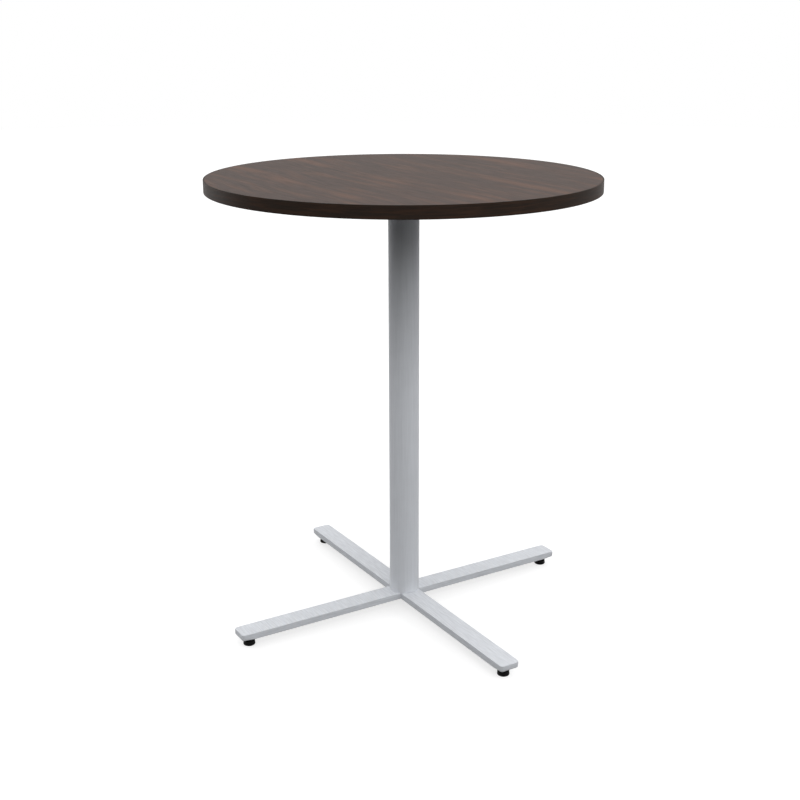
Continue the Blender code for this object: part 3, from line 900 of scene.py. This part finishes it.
class HIGHTABLE_OT_base(Operator):
    """Make the flat bars of the cross base and the welds beneath them"""

    bl_idname = "high_table.base"
    bl_label = "Cross base"

    def execute(self, context):
        settings = context.scene.high_table_steel
        paint = material_named("silver_base_coat", silver_powder_coat, settings, "Y")
        radius = settings.corner_radius
        low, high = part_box("base_long_bar")
        outline = divided(rounded_outline(low, high, [radius] * 4), BAR_STEP)
        bar = flat_plate(outline, low.z, high.z, bar_rims(high.y, settings.edge_radius))
        studs = [spot_of("glide_stud_" + place) for place in ("front", "back")]
        bar = drilled(bar, studs, STUD_HOLE_RADIUS, low, high, STUD_HOLE_SKIN)
        bolts = [spot_of("base_bolt_" + place) for place in ("front", "back")]
        bar = drilled(bar, bolts, BOLT_HOLE_RADIUS, low, high)
        add_piece("long_flat_bar", bar, paint, "base_long_bar")

        low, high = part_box("base_arm_right")
        outline = divided(rounded_outline(low, high, [0, radius, radius, 0]), BAR_STEP)
        arm = flat_plate(outline, low.z, high.z, bar_rims(high.x, settings.edge_radius), square_end_x=low.x)
        arm = drilled(arm, [spot_of("glide_stud_right")], STUD_HOLE_RADIUS, low, high, STUD_HOLE_SKIN)
        low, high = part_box("arm_weld_right")
        bead = weld_bead(high.y - low.y, high.x - low.x, high.z - low.z, high.z, settings.ripple_pitch)
        for side, turn in (("right", 0.0), ("left", math.pi)):
            node = "base_arm_" + side
            add_piece("short_flat_bar_" + side, arm, paint, node, turn=turn)
            node = "arm_weld_" + side
            add_piece("rippled_weld_" + side, bead, paint, node, spot_of(node))
        return {"FINISHED"}


class HIGHTABLE_OT_bolts(Operator):
    """Make the two hex bolts and their washers under the long bar"""

    bl_idname = "high_table.bolts"
    bl_label = "Bolts and washers"

    def execute(self, context):
        zinc = material_named("zinc_plate", zinc_plate, context.scene.high_table_steel)
        low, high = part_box("base_bolt_front")
        shank = BOLT_DIAMETER / 2
        head_top = low.z + BOLT_HEAD_HEIGHT
        profile = [(0, low.z + BOLT_HEAD_HEIGHT / 2), (shank, low.z + BOLT_HEAD_HEIGHT / 2)]
        profile += [(shank, high.z - BOLT_CHAMFER), (shank - BOLT_CHAMFER, high.z), (0, high.z)]
        head = hexagon(high.y - low.y, low.z, head_top, BOLT_CHAMFER, 0)
        bolt = combined(turned(profile, SMALL_SIDES), head, "UNION")

        low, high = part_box("base_washer_front")
        rim = (high.x - low.x) / 2
        radius = WASHER_EDGE_RADIUS
        profile = [(WASHER_HOLE_RADIUS, low.z)]
        profile += arc((rim - radius, low.z + radius), radius, -90, 0, EDGE_STEPS)
        profile += [(rim, high.z), (WASHER_HOLE_RADIUS, high.z)]
        washer = turned(profile, SMALL_SIDES, closed=True)
        for place in ("front", "back"):
            spot = spot_of("base_bolt_" + place)
            add_piece("hex_bolt_" + place, bolt, zinc, "base_bolt_" + place, spot)
            add_piece("round_washer_" + place, washer, zinc, "base_washer_" + place, spot)
        return {"FINISHED"}


class HIGHTABLE_OT_glides(Operator):
    """Make the four levelling glides: a moulded pad and a threaded stud for each"""

    bl_idname = "high_table.glides"
    bl_label = "Levelling glides"

    def execute(self, context):
        nylon = material_named("moulded_nylon", moulded_nylon, context.scene.high_table_glides)
        zinc = material_named("zinc_plate", zinc_plate, context.scene.high_table_steel)
        pad = self.pad()
        stud = self.stud(context.scene.high_table_glides.thread_pitch)
        for place in PLACES:
            spot = spot_of("glide_pad_" + place)
            add_piece("moulded_pad_" + place, pad, nylon, "glide_pad_" + place, spot)
            add_piece("threaded_stud_" + place, stud, zinc, "glide_stud_" + place, spot)
        return {"FINISHED"}

    def pad(self):
        """Round pad with a rounded foot, a drawn-in shoulder and a pocket for the stud's flange."""
        low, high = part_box("glide_pad_right")
        outer = (high.y - low.y) / 2
        height = high.z
        shoulder = outer - PAD_TAPER - PAD_SHOULDER_RADIUS
        mouth = STUD_NECK_DIAMETER / 2 + STUD_CLEARANCE
        pocket = STUD_FLANGE_DIAMETER / 2 + STUD_CLEARANCE
        lip_bottom = height - PAD_LIP_THICKNESS
        floor = lip_bottom - STUD_FLANGE_THICKNESS - 2 * TOUCH_GAP
        profile = [(0, 0)]
        profile += arc((outer - PAD_FOOT_RADIUS, PAD_FOOT_RADIUS), PAD_FOOT_RADIUS, -90, 0, CORNER_STEPS)
        profile += arc((shoulder, height - PAD_SHOULDER_RADIUS), PAD_SHOULDER_RADIUS, 0, 90, CORNER_STEPS)
        profile += [(mouth, height), (mouth, lip_bottom), (pocket, lip_bottom), (pocket, floor), (0, floor)]
        return turned(profile, SMALL_SIDES)

    def stud(self, pitch):
        """Stud with a flange that turns in the pad, a neck, a hexagon for the spanner and a threaded stem."""
        low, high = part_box("glide_stud_right")
        flange_top = low.z + STUD_FLANGE_THICKNESS
        hex_bottom = flange_top + PAD_LIP_THICKNESS + 2 * TOUCH_GAP
        hex_top = hex_bottom + STUD_HEX_HEIGHT
        middle = (hex_bottom + hex_top) / 2
        neck = STUD_NECK_DIAMETER / 2
        flange = STUD_FLANGE_DIAMETER / 2
        profile = [(0, low.z), (flange, low.z), (flange, flange_top)]
        profile += [(neck, flange_top), (neck, middle), (0, middle)]
        collar = hexagon(STUD_HEX_ACROSS_FLATS, hex_bottom, hex_top, HEX_CHAMFER, HEX_CHAMFER)
        foot = combined(turned(profile, SMALL_SIDES), collar, "UNION")
        major = STUD_DIAMETER / 2
        minor = major - THREAD_DEPTH_PER_PITCH * pitch

        def envelope(height):
            """Largest radius of the stem, drawn in to its root at both ends."""
            from_end = min(height - middle, high.z - height)
            return min(major, minor + max(0, from_end))

        stem = threaded_stem(middle, high.z, major, minor, pitch, envelope)
        return combined(foot, stem, "UNION")


def from_camera(right, forward, up):
    """A point given to the right of, in front of and above the table's foot, as the camera sees it."""
    return Matrix.Rotation(-CAMERA_TURN, 3, "Z") @ Vector((right, forward, up))


def lamp(name, power, direction):
    """A square soft lamp that looks at the column's middle from a direction."""
    data = bpy.data.lights.new(name, "AREA")
    data.energy = power
    data.size = LAMP_SIZE
    item = new_object(name, data)
    around, rise = (math.radians(angle) for angle in direction)
    level = LAMP_DISTANCE * math.cos(rise)
    away = from_camera(level * math.sin(around), -level * math.cos(around), LAMP_DISTANCE * math.sin(rise))
    item.location = away + Vector((0, 0, COLUMN_MIDDLE))
    item.rotation_euler = away.to_track_quat("Z", "Y").to_euler()


def seen_directly(tree):
    """1 where the camera, a mirror or a clear piece looks, and 0 for the light on matt surfaces."""
    seen = add_node(tree, "ShaderNodeLightPath", output="Is Camera Ray")
    rays = seen.node.outputs
    for ray in (rays["Is Glossy Ray"], rays["Is Transmission Ray"]):
        seen = add_node(tree, "ShaderNodeMath", (seen, ray), operation="MAXIMUM")
    return seen


class HIGHTABLE_OT_stage(Operator):
    """Make the pale floor, the soft light and the camera"""

    bl_idname = "high_table.stage"
    bl_label = "Studio"

    def execute(self, context):
        settings = context.scene.high_table_stage
        self.floor(settings)
        self.dome(context.scene, settings)
        for name, direction in LAMPS.items():
            lamp(name + "_lamp", getattr(settings, name + "_power"), direction)
        self.camera(context.scene)
        context.scene.view_settings.view_transform = "Standard"
        return {"FINISHED"}

    def floor(self, settings):
        """A round floor that is white to the eye and keeps the table's soft shadow."""
        shape = bmesh.new()
        bmesh.ops.create_circle(shape, cap_ends=True, segments=TOP_SIDES, radius=settings.floor_radius)
        mesh = to_mesh(shape)
        material = bpy.data.materials.new("studio_floor")
        material.use_nodes = True
        tree = material.node_tree
        tree.nodes.clear()
        pale = add_node(tree, "ShaderNodeBsdfDiffuse", {"Color": opaque((FLOOR_GREY,) * 3)})
        glow = add_node(tree, "ShaderNodeEmission", {"Strength": FLOOR_GLOW})
        white = add_node(tree, "ShaderNodeAddShader", (pale, glow))
        bounce = add_node(tree, "ShaderNodeBsdfDiffuse", {"Color": opaque(settings.floor_bounce)})
        upper = add_node(tree, "ShaderNodeMixShader", (seen_directly(tree), bounce, white))
        # Seen from below, the floor is clear, so that the underside of the table can be looked at
        clear = add_node(tree, "ShaderNodeBsdfTransparent")
        below = add_node(tree, "ShaderNodeNewGeometry", output="Backfacing")
        surface = add_node(tree, "ShaderNodeMixShader", (below, upper, clear))
        add_node(tree, "ShaderNodeOutputMaterial", {"Surface": surface})
        mesh.materials.append(material)
        floor = new_object("studio_floor", mesh)
        floor.location.z = -FLOOR_DROP

    def dome(self, scene, settings):
        """Soft light from all round, strongest from straight above, in front of a white background."""
        world = bpy.data.worlds.new("studio_dome")
        world.use_nodes = True
        tree = world.node_tree
        tree.nodes.clear()
        direction = add_node(tree, "ShaderNodeTexCoord", output="Generated")
        rise = add_node(tree, "ShaderNodeSeparateXYZ", (direction,), output="Z")
        level = add_node(tree, "ShaderNodeValToRGB", (rise,))
        set_stops(level, DOME_LEVELS)
        light = add_node(tree, "ShaderNodeBackground", (level, settings.dome_level))
        white = add_node(tree, "ShaderNodeBackground", (opaque((1.0, 1.0, 1.0)), 1.0))
        surface = add_node(tree, "ShaderNodeMixShader", (seen_directly(tree), light, white))
        add_node(tree, "ShaderNodeOutputWorld", {"Surface": surface})
        scene.world = world

    def camera(self, scene):
        """The photograph's camera."""
        data = bpy.data.cameras.new("studio_camera")
        data.sensor_width = SENSOR_WIDTH
        data.lens = FOCAL_PIXELS / PICTURE_SIDE * SENSOR_WIDTH
        data.shift_x = 0.5 - OPTICAL_CENTRE[0] / PICTURE_SIDE
        data.shift_y = OPTICAL_CENTRE[1] / PICTURE_SIDE - 0.5
        data.clip_start = 0.05
        data.clip_end = 100
        camera = new_object("studio_camera", data)
        camera.location = from_camera(0, -CAMERA_DISTANCE, CAMERA_HEIGHT)
        camera.rotation_euler = (math.pi / 2 - CAMERA_PITCH, 0, -CAMERA_YAW - CAMERA_TURN)
        scene.camera = camera


OPERATORS = (
    HIGHTABLE_OT_top,
    HIGHTABLE_OT_mounting_plate,
    HIGHTABLE_OT_column,
    HIGHTABLE_OT_base,
    HIGHTABLE_OT_bolts,
    HIGHTABLE_OT_glides,
    HIGHTABLE_OT_stage,
)
SETTINGS = {
    "high_table_top": HighTableTopSettings,
    "high_table_steel": HighTableSteelSettings,
    "high_table_glides": HighTableGlideSettings,
    "high_table_stage": HighTableStageSettings,
}


class HIGHTABLE_PT_sidebar(Panel):
    """Lists the table's pieces and its studio"""

    bl_label = "High table"
    bl_idname = "HIGHTABLE_PT_sidebar"
    bl_space_type = "VIEW_3D"
    bl_region_type = "UI"
    bl_category = "High table"

    def draw(self, context):
        for operator in OPERATORS:
            self.layout.operator(operator.bl_idname)
        for name in SETTINGS:
            group = getattr(context.scene, name)
            box = self.layout.box()
            for field in group.bl_rna.properties:
                if field.identifier not in ("rna_type", "name"):
                    box.prop(group, field.identifier)


def register():
    """Make the tools and their settings known."""
    for kind in (*SETTINGS.values(), *OPERATORS, HIGHTABLE_PT_sidebar):
        bpy.utils.register_class(kind)
    for name, group in SETTINGS.items():
        setattr(bpy.types.Scene, name, PointerProperty(type=group))


def unregister():
    """Take the tools and their settings away again."""
    for name in SETTINGS:
        delattr(bpy.types.Scene, name)
    for kind in (HIGHTABLE_PT_sidebar, *OPERATORS, *SETTINGS.values()):
        bpy.utils.unregister_class(kind)


def clear_starting_objects():
    """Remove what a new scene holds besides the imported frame."""
    kept = set(frame["nodes"].values()) | set(frame["bodies"].values())
    for item in list(bpy.data.objects):
        if item not in kept:
            bpy.data.objects.remove(item, do_unlink=True)


def main():
    """Build every piece and the studio."""
    register()
    clear_starting_objects()
    bpy.ops.high_table.top()
    bpy.ops.high_table.mounting_plate()
    bpy.ops.high_table.column()
    bpy.ops.high_table.base()
    bpy.ops.high_table.bolts()
    bpy.ops.high_table.glides()
    bpy.ops.high_table.stage()
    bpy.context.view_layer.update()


if __name__ == "__main__":
    main()
